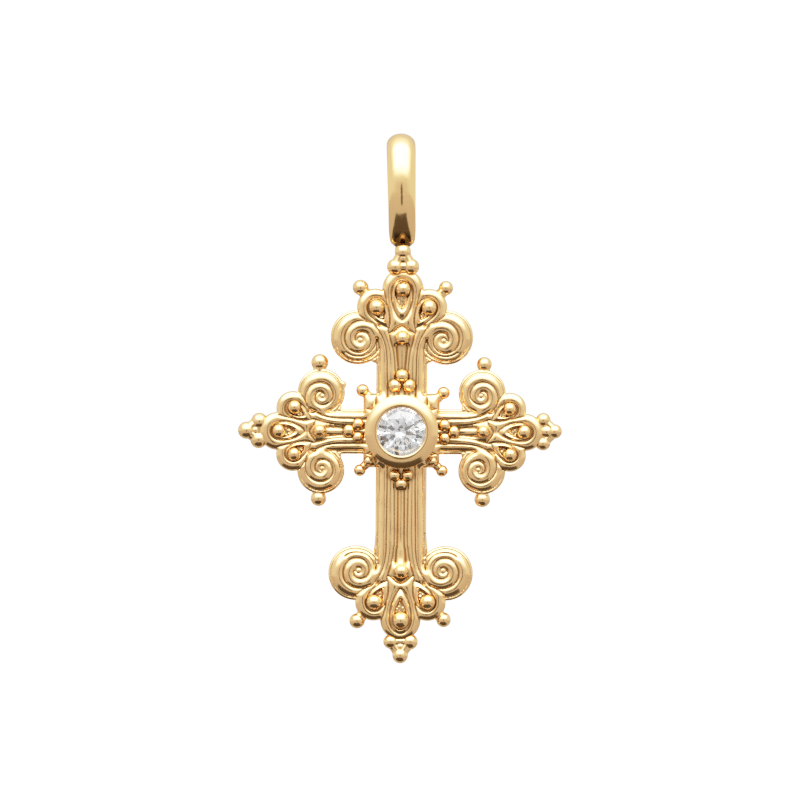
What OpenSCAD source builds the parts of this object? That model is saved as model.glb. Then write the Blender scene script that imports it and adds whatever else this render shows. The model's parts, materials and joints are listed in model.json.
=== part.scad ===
/* [Cross] */
// Half width of the upright's shafts
shaft_half = 1.96; // [1.8:0.02:2.1]
// Half width of the side arms' shafts
side_shaft_half = 1.73; // [1.6:0.02:1.9]
// Size of the side arms' scrolls and lobes against the upright's
side_size = 0.865; // [0.8:0.005:0.95]
// From the middle of the stone to the neck bead of the top arm
top_neck = 7.2; // [6.9:0.05:7.6]
// From the middle of the stone to the neck bead of the foot
foot_neck = 10.74; // [10.2:0.05:11.4]
// From the middle of the stone to the neck bead of a side arm
side_neck = 6.28; // [6.1:0.02:6.6]
// Thickness of the casting under its relief
plate_t = 1.3; // [1.1:0.05:1.5]
// Height of the scrolls, flutes and lobes over the casting
relief_h = 0.55; // [0.4:0.05:0.65]
// Half width of the square under the collar
square_half = 2.92; // [2.8:0.02:3.0]

/* [Beads] */
// Radius of the beads in the drops and at the neck
bead_r = 0.57; // [0.5:0.01:0.62]
// Radius of the beads that stand out from the lobes and scrolls
outer_bead_r = 0.6; // [0.55:0.01:0.64]
// Radius of the trefoil beads round the collar
trefoil_r = 0.44; // [0.4:0.01:0.48]
// Radius of the ball at each corner of the square
corner_r = 0.42; // [0.38:0.01:0.46]

/* [Collar and stone] */
// Outer radius of the collar
collar_r = 2.83; // [2.75:0.01:2.9]
// Radius of the stone that the collar leaves bare
lip_r = 1.87; // [1.84:0.01:1.9]
// Height of the collar's top over the hinge plane
collar_top = 2.78; // [2.6:0.02:3.0]
// Radius of the stone at its girdle
stone_r = 2; // [1.95:0.01:2.02]
// Height of the stone's crown
crown_h = 0.56; // [0.5:0.02:0.62]
// Depth of the stone's pavilion
pavilion_h = 1.66; // [1.5:0.02:1.7]

/* [Bail] */
// Outside height from the hinge axis to the top of the bail
bail_rise = 8.74; // [8.4:0.02:9.2]
// Half of the outside depth of the bail
bail_half = 2.8; // [2.6:0.05:3.0]
// Height of the bail's widest place over the hinge axis
bail_widest = 4.5; // [4.2:0.05:5]
// Half width of the band at the top
band_half = 1.08; // [1:0.02:1.12]
// Thickness of the band at the top
band_t = 1.12; // [0.95:0.01:1.2]

/* [Hinge] */
// Height of the hinge axis over the middle of the stone
hinge_rise = 14.15; // [14.1:0.01:14.2]
// Radius of the eye's bar
bar_r = 0.17; // [0.15:0.01:0.18]
// Running gap between the bar and the bail's neck
running_gap = 0.04; // [0.03:0.01:0.05]
// Thickness of the bail's neck
neck_t = 0.4; // [0.36:0.01:0.42]
// Half width of the bail's neck
neck_half = 0.26; // [0.24:0.01:0.27]
// Half width of the hole in the eye
eye_half = 0.31; // [0.3:0.005:0.32]

/* [Hidden] */
gold = "#e3c07c";
bead_fn = 10;
volute_fn = 20;
lobe_fn = 16;
lobe_step = 0.1;
stud_level = 0.75;

// levels over the hinge plane, in the casting's own lying frame
back_z = -0.2;
face_z = back_z + plate_t;
stone_z = collar_top - 0.02 - crown_h;
seat_gap = 0.03;

// the hinge and the place of the middle of the stone under the chain seat
saddle_r = bar_r + running_gap;
neck_mid_r = saddle_r + neck_t / 2;
seat_rise = hinge_rise + bail_rise - band_t;
hinge_z = hinge_rise - seat_rise;

// one row for each arm: turn, neck distance, size, shaft half width, then for the
// beads at its end the tip's radius and distance past the neck, and the twins'
// radius, distance, half spacing and the level of all three
TURN = 0;
NECK = 1;
SIZE = 2;
SHAFT = 3;
TIP_R = 4;
TIP_V = 5;
TWIN_R = 6;
TWIN_V = 7;
TWIN_U = 8;
LEVEL = 9;
arms = [
    [0, top_neck, 1, shaft_half, 0.63, 6.6, 0.64, 5.46, 0.61, 1.45],
    [180, foot_neck, 1, shaft_half, 0.61, 6.47, 0.56, 5.4, 0.77, 0.9],
    [90, side_neck, side_size, side_shaft_half, 0.61, 5.6, 0.66, 4.66, 0.7, 0.9],
    [-90, side_neck, side_size, side_shaft_half, 0.54, 5.5, 0.55, 4.66, 0.86, 0.9],
];

// places in a terminal of full size, across and outward from its neck bead
volute_c = [3.38, 0.05];
volute_r = 2.1;
coil_c = [3.25, -0.15];
side_lobe_c = [2.06, 2.37];
side_lobe_r = 1.42;
end_lobe_c = [0, 3.75];
end_lobe_r = 1.57;
heart_c = [0, 1.9];
heart_r = 1.3;
side_point = [0.95, 0.8];
end_point = [0, 1.3];
side_pit_r = 0.72;
end_pit_r = 0.82;
stud_upright = [3.3, 3.8];
stud_side = [6.09, 0.08];

// the crease on each side of a shaft's middle panel: half spacing at the collar,
// at the waist, at the shoulder and at the foot of the side lobe
panel_half = [0.66, 0.68, 1, 0.95];
panel_v = [-2.2, -0.6, 0.75];

// distances from the middle of the stone: trefoils of the top arm, the foot and the
// side arms, then the corner balls and the beads inside them
trefoil_top = 4.28;
trefoil_foot = 4.02;
trefoil_side = 4.05;
corner_ball_out = 4.41;
corner_root_out = 3.5;
corner_root_r = 0.5;

// radius of the coil's crown line against the angle it has turned, in degrees
coil_radius = [
    [0, 1.7], [45, 1.22], [90, 1.0], [180, 0.76], [270, 0.62], [360, 0.47], [450, 0.3], [520, 0.14]
];
// half width of the coil against the same angle
coil_half = [[0, 0.36], [90, 0.38], [270, 0.36], [450, 0.26], [520, 0.16]];

function unit(p) = p / norm(p);
function side_of(p) = [-p.y, p.x];
function at(table, x) = lookup(x, table);

// section of a raised band: across, then up, as shares of half width and height
band_section = [[-1, -0.3], [-0.5, 1], [0.5, 1], [1, -0.3]];

// a raised band along an open path, each row of the path being [u, v, half width, height]
module band(rows) {
    n = len(rows);
    m = len(band_section);
    points = [
        for (i = [0 : n - 1])
            let (a = rows[max(i - 1, 0)], b = rows[min(i + 1, n - 1)])
            let (across = side_of(unit([b.x - a.x, b.y - a.y])))
            for (s = band_section)
                [rows[i].x + across.x * s.x * rows[i][2],
                 rows[i].y + across.y * s.x * rows[i][2],
                 s.y * rows[i][3]]
    ];
    walls = [
        for (i = [0 : n - 2])
            for (j = [0 : m - 1])
                let (k = (j + 1) % m)
                [i * m + j, i * m + k, (i + 1) * m + k, (i + 1) * m + j]
    ];
    ends = [[for (j = [m - 1 : -1 : 0]) j], [for (j = [0 : m - 1]) (n - 1) * m + j]];
    polyhedron(points, concat(walls, ends), convexity = 6);
}

// the flute of the shaft that runs on as the coil of a volute
module fluted_coil(length, size, shaft) {
    start = shaft / size - 0.42;
    steps = 12;
    straight = [for (v = [-length, -1.4]) [start, v, 0.4, relief_h * 0.8]];
    curled = [
        for (i = [0 : steps])
            let (t = i * 520 / steps)
            let (r = at(coil_radius, t))
            [coil_c.x - r * cos(t), coil_c.y + r * sin(t), at(coil_half, t), relief_h]
    ];
    band(concat(straight, curled));
}

// the flange that goes round the outside of a volute
module flange() {
    steps = 6;
    half = 0.3;
    mid_r = volute_r - half;
    band([
        for (i = [0 : steps])
            let (t = 80 + i * 235 / steps)
            [volute_c.x - mid_r * cos(t), volute_c.y + mid_r * sin(t), half, relief_h * 0.75]
    ]);
}

// a round end drawn out to a point
module drop(centre, r, point, point_r) {
    hull() {
        translate(centre) circle(r, $fn = lobe_fn);
        translate(point) circle(point_r, $fn = 6);
    }
}

// a raised lobe with a drop sunk in it
module lobe(centre, lobe_r, point, pit_r, height) {
    translate([0, 0, -0.1]) linear_extrude(height + 0.1) difference() {
        drop(centre, lobe_r - lobe_step, point, 0.3);
        drop(centre, pit_r, point + unit(centre - point) * 0.3, 0.06);
    }
}

module bead(place, r) {
    translate(place) sphere(r, $fn = bead_fn);
}

// a short post that holds a bead to the casting, each place being [x, y, level]
module stem(from, to, r) {
    hull() for (p = [from, to])
        translate(p) cylinder(1.2 * r, r, r, center = true, $fn = 6);
}

// the outline of an arm, in its own turned frame
module arm_outline(arm) {
    translate([-arm[SHAFT], 0]) square([2 * arm[SHAFT], arm[NECK] + 1.5]);
    translate([0, arm[NECK]]) scale(arm[SIZE]) {
        for (s = [-1, 1]) {
            translate([s * volute_c.x, volute_c.y]) circle(volute_r, $fn = volute_fn);
            translate([s * side_lobe_c.x, side_lobe_c.y]) circle(side_lobe_r, $fn = lobe_fn);
        }
        translate(end_lobe_c) circle(end_lobe_r, $fn = lobe_fn);
        translate(heart_c) circle(heart_r, $fn = 8);
    }
}

// scrolls, flutes, lobes and the beads within them
module arm_relief(arm) {
    size = arm[SIZE];
    inner = (arm[NECK] - collar_r + 0.4) / size;
    translate([0, arm[NECK], face_z]) scale(size) {
        for (s = [0, 1]) mirror([s, 0, 0]) {
            fluted_coil(inner, size, arm[SHAFT]);
            flange();
            lobe(side_lobe_c, side_lobe_r, side_point, side_pit_r, relief_h * 0.8);
            band([
                [panel_half[0], -inner, 0.2, relief_h],
                [panel_half[1], panel_v[0], 0.2, relief_h],
                [panel_half[2], panel_v[1], 0.2, relief_h],
                [panel_half[3], panel_v[2], 0.12, relief_h],
            ]);
        }
        lobe(end_lobe_c, end_lobe_r, end_point, end_pit_r, relief_h);
    }
    bead_z = face_z + 0.22;
    translate([0, arm[NECK], 0]) {
        bead([0, 0, bead_z], bead_r);
        bead([0, end_lobe_c.y * size, bead_z], bead_r);
        for (s = [-1, 1])
            bead([s * side_lobe_c.x * size, side_lobe_c.y * size, bead_z], bead_r);
    }
}

// the three beads at the end and the stud on each side
module arm_beads(arm) {
    size = arm[SIZE];
    level = arm[LEVEL];
    stud = arm[SIZE] == 1 ? stud_upright : stud_side * size;
    stud_root = arm[SIZE] == 1 ? side_lobe_c : volute_c * size;
    translate([0, arm[NECK], 0]) {
        stem([0, arm[TIP_V], level], [0, end_lobe_c.y * size, face_z - 0.23], arm[TIP_R] * 0.52);
        bead([0, arm[TIP_V], level], arm[TIP_R]);
        for (s = [-1, 1]) {
            bead([s * arm[TWIN_U], arm[TWIN_V], level], arm[TWIN_R]);
            bead([s * stud.x, stud.y, stud_level], outer_bead_r);
            stem([s * stud.x, stud.y, stud_level],
                 [s * stud_root.x, stud_root.y, stud_level],
                 outer_bead_r * 0.55);
        }
    }
}

// beads set in threes where each arm meets the collar
module trefoil(reach) {
    for (p = [[0, reach], [-0.51, reach - 0.76], [0.51, reach - 0.76]])
        bead([p.x, p.y, face_z + 0.35], trefoil_r);
}

// the square under the collar, with a ball at each corner and one inside it
module corner_square() {
    translate([-square_half, -square_half, back_z + 0.3])
        cube([2 * square_half, 2 * square_half, plate_t - 0.4]);
    for (a = [45 : 90 : 315]) rotate(a) {
        stem([corner_ball_out, 0, stud_level], [3, 0, stud_level], corner_r * 0.6);
        bead([corner_ball_out, 0, stud_level], corner_r);
        bead([corner_root_out, 0, face_z - 0.1], corner_root_r);
    }
}

// section of the collar, out from its axis and up from the hinge plane
module collar() {
    wall = collar_r - lip_r;
    rotate_extrude($fn = 32) polygon([
        [0, 0],
        [collar_r, 0],
        [collar_r, collar_top - 0.85],
        [collar_r - wall * 0.12, collar_top - 0.4],
        [collar_r - wall * 0.42, collar_top - 0.08],
        [collar_r - wall * 0.68, collar_top],
        [lip_r, collar_top - 0.12],
        [0, collar_top - 0.12],
    ]);
}

// room for the stone: open at the lip, widest at the girdle, closed behind
module stone_room() {
    room_r = stone_r + seat_gap;
    lip_z = stone_z + crown_h * 0.3;
    rotate_extrude($fn = 32) polygon([
        [0, stone_z - pavilion_h - 0.1],
        [0.5, stone_z - pavilion_h - 0.1],
        [room_r, stone_z - 0.06],
        [room_r, stone_z + 0.06],
        [lip_r, lip_z],
        [lip_r, collar_top + 1],
        [0, collar_top + 1],
    ]);
}

// the eye behind the tip bead: two posts and a round bar on the hinge axis
module eye() {
    post_bottom = top_neck + end_lobe_c.y + 1.2;
    outer_half = eye_half + 0.24;
    hole_bottom = hinge_rise - saddle_r - neck_t - 0.08;
    translate([0, hinge_rise, 0]) rotate([0, 90, 0])
        cylinder(2 * outer_half, bar_r, bar_r, center = true, $fn = 16);
    for (s = [-1, 1]) translate([s * (outer_half + eye_half) / 2, 0, 0])
        translate([0, (hole_bottom + hinge_rise) / 2, 0])
            cube([outer_half - eye_half, hinge_rise - hole_bottom, 2 * bar_r], center = true);
    translate([-outer_half, post_bottom, back_z])
        cube([2 * outer_half, hole_bottom - post_bottom, bar_r - back_z]);
}

// the whole casting, lying on its back with the foot towards -Y
module casting() {
    difference() {
        union() {
            for (arm = arms) rotate(arm[TURN]) {
                translate([0, 0, back_z]) linear_extrude(plate_t) arm_outline(arm);
                arm_relief(arm);
                arm_beads(arm);
            }
            trefoil(trefoil_top);
            rotate(180) trefoil(trefoil_foot);
            for (a = [-90, 90]) rotate(a) trefoil(trefoil_side);
            corner_square();
            collar();
            eye();
        }
        stone_room();
    }
}

module cross() {
    color(gold) translate([0, 0, -seat_rise]) rotate([90, 0, 0]) casting();
}

// the cut stone: table, crown, girdle and pavilion as one convex body
module stone() {
    table_r = stone_r * 0.56;
    crown_mid_r = stone_r * 0.8;
    pavilion_mid_r = stone_r * 0.45;
    function ring(r, z, count, start) =
        [for (i = [0 : count - 1]) let (a = start + i * 360 / count) [r * cos(a), r * sin(a), z]];
    corners = concat(
        ring(table_r, crown_h, 8, 22.5),
        ring(crown_mid_r, crown_h * 0.62, 8, 0),
        ring(stone_r, 0.03, 16, 11.25),
        ring(stone_r, -0.03, 16, 11.25),
        ring(pavilion_mid_r, -pavilion_h * 0.6, 8, 0),
        [[0, 0, -pavilion_h]]
    );
    color("#f4f6f8") translate([0, -stone_z, -seat_rise]) rotate([90, 0, 0])
        hull() polyhedron(corners, [for (i = [1 : len(corners) - 2]) [0, i, i + 1]]);
}

// the bail's crown line on one side, from the neck up to the top
turn_neck = 66;
lower_end = neck_mid_r * [sin(turn_neck), -cos(turn_neck)];
lower_way = [cos(turn_neck), sin(turn_neck)];
shoulder = bail_half - band_t * 0.75;
top_round_h = bail_rise - bail_widest - band_t * 0.75;

function bezier(a, b, c, d, t) =
    a * pow(1 - t, 3) + 3 * b * t * pow(1 - t, 2) + 3 * c * t * t * (1 - t) + d * pow(t, 3);

// half width and thickness of the band against the height over the hinge axis
band_widths = [
    [-1, neck_half], [-0.06, neck_half], [0.02, 0.5], [0.13, 0.7], [0.28, 0.84],
    [0.55, 0.96], [1, 1], [4, 1.02], [bail_rise - 2.4, band_half], [bail_rise, band_half]
];
band_depths = [
    [-1, neck_t], [0, neck_t], [0.3, 0.46], [1, 0.7], [3, 0.95], [bail_rise, band_t]
];

bail_line = concat(
    [for (a = [0 : 16.5 : turn_neck]) neck_mid_r * [sin(a), -cos(a)]],
    [for (i = [1 : 10]) bezier(
        lower_end,
        lower_end + 1.6 * lower_way,
        [shoulder, bail_widest - 2.2],
        [shoulder, bail_widest],
        i / 10
    )],
    [for (a = [15 : 15 : 90]) [shoulder * cos(a), bail_widest + top_round_h * sin(a)]]
);

// section of the band: across, then out, half round outside and nearly flat inside
bail_section = [
    for (a = [0 : 22.5 : 337.5])
        [cos(a), sin(a) > 0 ? 0.75 * sin(a) : 0.25 * sin(a)]
];

module bail() {
    half = len(bail_line);
    back = [for (p = bail_line) [p.x, p.y]];
    front = [for (i = [half - 2 : -1 : 1]) [-bail_line[i].x, bail_line[i].y]];
    line = concat(back, front);
    n = len(line);
    m = len(bail_section);
    points = [
        for (i = [0 : n - 1])
            let (way = unit(line[(i + 1) % n] - line[(i + n - 1) % n]))
            let (out = [way.y, -way.x])
            let (w = at(band_widths, line[i].y), t = at(band_depths, line[i].y))
            let (drop = t < 0.45 ? 0.25 : 0)
            for (s = bail_section)
                [w * s.x,
                 line[i].x + out.x * (s.y - drop) * t,
                 line[i].y + out.y * (s.y - drop) * t]
    ];
    faces = [
        for (i = [0 : n - 1])
            for (j = [0 : m - 1])
                let (a = (i + 1) % n, b = (j + 1) % m)
                [i * m + j, i * m + b, a * m + b, a * m + j]
    ];
    color(gold) translate([0, 0, hinge_z]) difference() {
        polyhedron(points, faces, convexity = 8);
        rotate([0, 90, 0]) cylinder(2, saddle_r, saddle_r, center = true, $fn = 48);
    }
}

cross();
stone();
bail();
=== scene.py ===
import json
import math

import bmesh
import bpy
import numpy as np
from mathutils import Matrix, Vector, kdtree
from mathutils.geometry import delaunay_2d_cdt


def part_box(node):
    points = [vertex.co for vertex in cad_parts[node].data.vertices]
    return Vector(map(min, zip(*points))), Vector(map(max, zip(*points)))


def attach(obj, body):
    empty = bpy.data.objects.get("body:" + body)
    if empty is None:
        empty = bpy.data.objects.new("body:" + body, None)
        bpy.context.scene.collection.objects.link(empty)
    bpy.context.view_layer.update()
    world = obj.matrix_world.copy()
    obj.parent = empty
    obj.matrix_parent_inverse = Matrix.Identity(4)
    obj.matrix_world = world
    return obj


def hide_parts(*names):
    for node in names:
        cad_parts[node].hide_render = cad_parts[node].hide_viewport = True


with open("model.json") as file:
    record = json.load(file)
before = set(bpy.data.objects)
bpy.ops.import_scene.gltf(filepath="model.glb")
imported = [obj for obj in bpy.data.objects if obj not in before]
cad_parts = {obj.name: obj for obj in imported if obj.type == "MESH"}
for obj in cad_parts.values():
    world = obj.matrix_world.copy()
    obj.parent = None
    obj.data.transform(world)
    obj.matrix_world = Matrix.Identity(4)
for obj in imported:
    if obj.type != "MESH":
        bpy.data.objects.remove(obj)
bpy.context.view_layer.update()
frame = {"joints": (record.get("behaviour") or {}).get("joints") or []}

mm = 0.001

# The casting is worked out lying on its back, in mm: x right, y up the cross, z towards the viewer,
# with the middle of the stone at x = y = 0 and the bail's plane at z = 0.
stoneLow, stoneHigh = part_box("stone")
stoneHeight = (stoneLow.z + stoneHigh.z) / 2
collarTop = -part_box("cross")[0].y / mm
hinge = Vector(frame["joints"][0]["pos_m"])


def toWorld(points):
    p = np.asarray(points, float).reshape(-1, 3)
    return np.column_stack([p[:, 0] * mm, -p[:, 2] * mm, p[:, 1] * mm + stoneHeight])


def addMesh(name, points, faces, smooth=True):
    mesh = bpy.data.meshes.new(name)
    mesh.from_pydata([tuple(p) for p in points], [], [tuple(int(i) for i in f) for f in faces])
    mesh.validate()
    mesh.update()
    if smooth:
        mesh.shade_smooth()
    piece = bpy.data.objects.new(name, mesh)
    bpy.context.scene.collection.objects.link(piece)
    return piece


# curves

def smoothPath(points, step):
    # a curve through given points, with a point every step
    p = np.array(points, float)
    before = np.vstack([2 * p[0] - p[1], p[:-1]])
    after = np.vstack([p[1:], 2 * p[-1] - p[-2]])
    tangent = (after - before) / 2
    parts = 16                  # a stretch between two given points is worked out in so many parts
    rows = []
    for i in range(len(p) - 1):
        for t in np.linspace(0, 1, parts, endpoint=False):
            rows.append(
                (2 * t**3 - 3 * t**2 + 1) * p[i] + (t**3 - 2 * t**2 + t) * tangent[i]
                + (3 * t**2 - 2 * t**3) * p[i + 1] + (t**3 - t**2) * tangent[i + 1]
            )
    rows.append(p[-1])
    rows = np.array(rows)
    run = np.concatenate([[0], np.cumsum(np.linalg.norm(np.diff(rows, axis=0), axis=1))])
    count = max(2, int(round(run[-1] / step)) + 1)
    at = np.linspace(0, run[-1], count)
    return np.column_stack([np.interp(at, run, rows[:, k]) for k in range(p.shape[1])])


def smoothValue(table, x):
    # a value read off a short table, without corners at its rows
    parts = 400
    fine = smoothPath(table, (table[-1][0] - table[0][0]) / parts)
    return np.interp(x, fine[:, 0], fine[:, 1])


def dropOutline(point, end, halfWidth, blunt, step):
    # a drop from its point to the far side of its round end
    point, end = np.array(point, float), np.array(end, float)
    along = end - point
    across = np.array([-along[1], along[0]]) / np.linalg.norm(along)
    parts = 240
    t = np.linspace(0, 2 * math.pi, parts, endpoint=False)
    side = np.sin(t) * np.abs(np.sin(t / 2)) ** blunt
    side *= halfWidth / side.max()
    loop = point + np.outer((1 - np.cos(t)) / 2, along) + np.outer(side, across)
    return evenLoop(loop, step)


def evenLoop(loop, step):
    closed = np.vstack([loop, loop[:1]])
    run = np.concatenate([[0], np.cumsum(np.linalg.norm(np.diff(closed, axis=0), axis=1))])
    count = max(8, int(round(run[-1] / step)))
    at = np.linspace(0, run[-1], count, endpoint=False)
    return np.column_stack([np.interp(at, run, closed[:, k]) for k in range(2)])


def roundLoop(centre, radius, step):
    count = max(12, int(round(2 * math.pi * radius / step)))
    t = np.arange(count) * 2 * math.pi / count
    return np.array(centre) + radius * np.column_stack([np.cos(t), np.sin(t)])


def boxLoop(low, high, step):
    (x0, y0), (x1, y1) = low, high
    return evenLoop(np.array([(x0, y0), (x1, y0), (x1, y1), (x0, y1)], float), step)


# the casting's plan

casting = {
    "fineStep": 0.055,          # spacing of the mesh beside a crease
    "wideStep": 0.11,           # spacing in the open
    "fineReach": 0.16,          # how far the fine spacing runs from a crease
    "bareRadius": 2.3,          # under the collar there is no fine spacing
    "faceLevel": 1.1,           # front of the plate over the bail's plane
    "backLevel": -0.2,
    "backRound": 0.2,
    "backSteps": (0.085, 0.4),  # spacing of the back beside its edge and in the open
    "backGaps": (0.03, 0.045),  # the back's points keep this far inside and off the edge's own points
    "backReach": 0.3,           # how far the close spacing runs from the edge
    "lipWidth": 0.24,           # low lip between the outline and the raised bands
    "lobeLip": 0.15,            # share of it at the lobes and the square
    "roundness": 0.66,          # height of a band as a share of its half width
    "shaftHalf": 1.96,
    "sideShaftHalf": 1.73,
    "shaftRun": (-1.0, 1.2),    # from the middle of the stone, to how far past the neck bead
    "square": (2.93, 2.93, 2.76),   # half width, top and foot of the square under the collar
    "nub": ((-4.56, 3.58), 0.3),    # small lump on the left arm's upper volute
    "smallest": 0.1,            # a shape drawn in to less than this is left out
    "well": (1.95, 0.3),        # radius and level of the hole under the stone
    "pitDepth": 0.2,
    "dropShare": 0.35,          # bands inside a drop are flatter
    "wobble": (0.012, 3.2, 1.1),        # unevenness: height, longest and shortest wave
    "pitWobble": (0.025, 0.35, 0.18),
    "seed": 7,
    "darkFade": 0.027,          # how fast the painted shade fades beside a crease
    "darkTop": 0.62,            # creases above this height get no painted shade
    # painted shade in the pits
    "pitDark": 0.25,
    "beadDark": (0.8, 0.1),     # painted shade round the foot of a bead, and how fast it fades
}

# levels of the creases over the plate's face
creaseLevel = {
    "outline": 0.0, "lip": 0.1, "flute": 0.26, "rim": 0.22, "panel": 0.26, "channel": 0.12,
    "drop": 0.26, "crest": 0.4, "pit": 0.3, "knob": 0.26, "arch": 0.26, "notch": 0.12,
    "seam": 0.24, "joint": 0.34,
}

# one entry for each arm: how far it is turned, the place of its neck bead, its size, how far its
# volutes and the coils on either side are moved, whether its volutes have rims, the gusset's run along
# the shaft and across it, and how its end lobe and side lobes differ from the usual ones
arms = {
    "top": {
        "turn": 0, "neck": 7.2, "size": 1.0, "shaft": casting["shaftHalf"],
        "scroll": (0, 0), "coil": {1: (0, 0), -1: (0, 0.04)},
        "rims": True, "gusset": (0.5, 0.4),
        "endRadius": 1.6, "endAside": 0.06, "endReach": 0, "lobeRadius": 1.42,
    },
    "foot": {
        "turn": 180, "neck": 10.74, "size": 1.0, "shaft": casting["shaftHalf"],
        "scroll": (0.08, 0.08), "coil": {1: (0.02, 0.2), -1: (0.06, 0.2)},
        "rims": True, "gusset": (1.6, 0.12),
        "endRadius": 1.56, "endAside": 0, "endReach": 0.26, "lobeRadius": 1.43,
    },
    "left": {
        "turn": 90, "neck": 6.28, "size": 0.865, "shaft": casting["sideShaftHalf"],
        "scroll": (0.09, -0.17), "coil": {1: (-0.1, 0.03), -1: (0.12, 0)},
        "rims": False, "gusset": (0.3, 0.35),
        "endRadius": 1.7, "endAside": 0, "endReach": -0.2, "lobeRadius": 1.5,
    },
    "right": {
        "turn": -90, "neck": 6.28, "size": 0.865, "shaft": casting["sideShaftHalf"],
        "scroll": (0.07, -0.15), "coil": {1: (0.18, -0.18), -1: (0, 0.03)},
        "rims": False, "gusset": (0.3, 0.35),
        "endRadius": 1.66, "endAside": 0, "endReach": -0.12, "lobeRadius": 1.46,
    },
}

# places in an arm's end at full size: across, then outward from the neck bead
ornament = {
    "volute": ((3.38, 0.05), 2.1),
    "heart": ((0.0, 1.9), 1.5),
    "sideLobe": (2.06, 2.37),
    "endLobe": 3.72,            # its place outward, while each arm has its place across
    "gussetUnder": (0.15, 0.4),     # how far a gusset runs in under the shaft and the volute
    "coilMiddle": (3.25, -0.12),
    # radius of the coil against its turn in degrees
    "coilRadius": [
        (46, 1.6), (77, 1.43), (120, 1.28), (174, 1.16), (258, 1.1), (347, 0.87),
        (440, 0.52), (510, 0.37), (570, 0.3),
    ],
    "coilStep": 9,
    "coilDrift": 120,           # turn over which a coil moves to its arm's own place
    "creaseFoot": 2.4,          # where the creases start, from the middle of the stone
    "fluteFoot": 1.06,
    "fluteRise": [(1.12, -2.6), (1.14, -1.5), (1.27, -0.6), (1.58, 0.2)],
    "panelFoot": 0.56,
    "panelSide": [(0.5, -2.7), (0.56, -1.7), (0.69, -0.8), (0.99, 0.33)],
    "channelFoot": 0.24,
    "channelSide": [(0.26, -2.6), (0.33, -1.6), (0.4, -0.62)],
    "joint": (1.9, 2.8),        # run of the crease between shaft and square
    "arch": [
        (-1.0, 0.33), (-0.62, 0.52), (-0.34, 0.75), (0.0, 0.9), (0.34, 0.75), (0.62, 0.52),
        (1.0, 0.33),
    ],
    "coilRim": [
        (1.93, -0.1), (2.08, -0.62), (2.42, -1.12), (2.85, -1.38), (3.4, -1.45), (3.9, -1.36),
        (4.3, -1.12),
    ],
    "crotch": [(1.93, -0.1), (1.92, -0.7), (1.97, -1.3), (1.97, -1.7)],
    "crotchFoot": [(1.93, -0.1), (1.8, -0.5), (1.73, -1.0), (1.72, -1.8)],
    "lobeSeam": [(3.36, 1.8), (2.95, 1.45), (2.62, 1.24)],
    "dropLink": [(1.02, 0.72), (1.05, 0.52), (0.99, 0.33)],
    "endSeam": [(1.44, 3.72), (1.3, 3.25), (1.19, 2.8), (1.14, 2.45)],
    # each drop as its point, the far side of its round end, its half width and how blunt it is
    "sideDrop": ((1.0, 0.74), (2.34, 3.0), 0.74, 0.75),
    "sideCrest": ((1.24, 1.14), (2.24, 2.84), 0.54, 0.75),
    "sidePit": ((1.42, 1.42), (2.14, 2.68), 0.41, 0.7),
    "endDrop": ((0.0, 1.33), (0.0, 4.55), 0.84, 0.55),
    "endCrest": ((0.0, 1.8), (0.0, 4.32), 0.62, 0.55),
    "endPit": ((0.0, 2.2), (0.0, 4.12), 0.46, 0.6),
    "knob": ((3.2, -0.25), 0.22),
}


def turnPoints(points, turn):
    a = math.radians(turn)
    p = np.asarray(points, float)
    return np.column_stack([
        p[:, 0] * math.cos(a) - p[:, 1] * math.sin(a),
        p[:, 0] * math.sin(a) + p[:, 1] * math.cos(a),
    ])


def onArm(arm, points, side=1):
    # from an arm's own places to the cross
    p = np.asarray(points, float) * arm["size"] * (side, 1) + (0, arm["neck"])
    return turnPoints(p, arm["turn"])


# beads

beads = {
    "detail": 4,
    "unevenness": 0.03,
    "seed": 11,
    "footShade": 0.95,           # painted shade at the foot of a bead that rises out of the relief
    "shadeTop": (1.7, 0.28),     # the level where it ends and the height over which it fades
    "sunkLevel": 1.42,          # middles of the beads in the drops
    "neckLevel": 1.5,
    "endLevel": {"top": 1.45, "foot": 0.9, "left": 0.9, "right": 0.9},
    "studLevel": 0.75,
    "trefoilLevel": 1.32,
    "cornerLevel": 1.08,
    "cornerRootLevel": 1.42,
}

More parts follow.
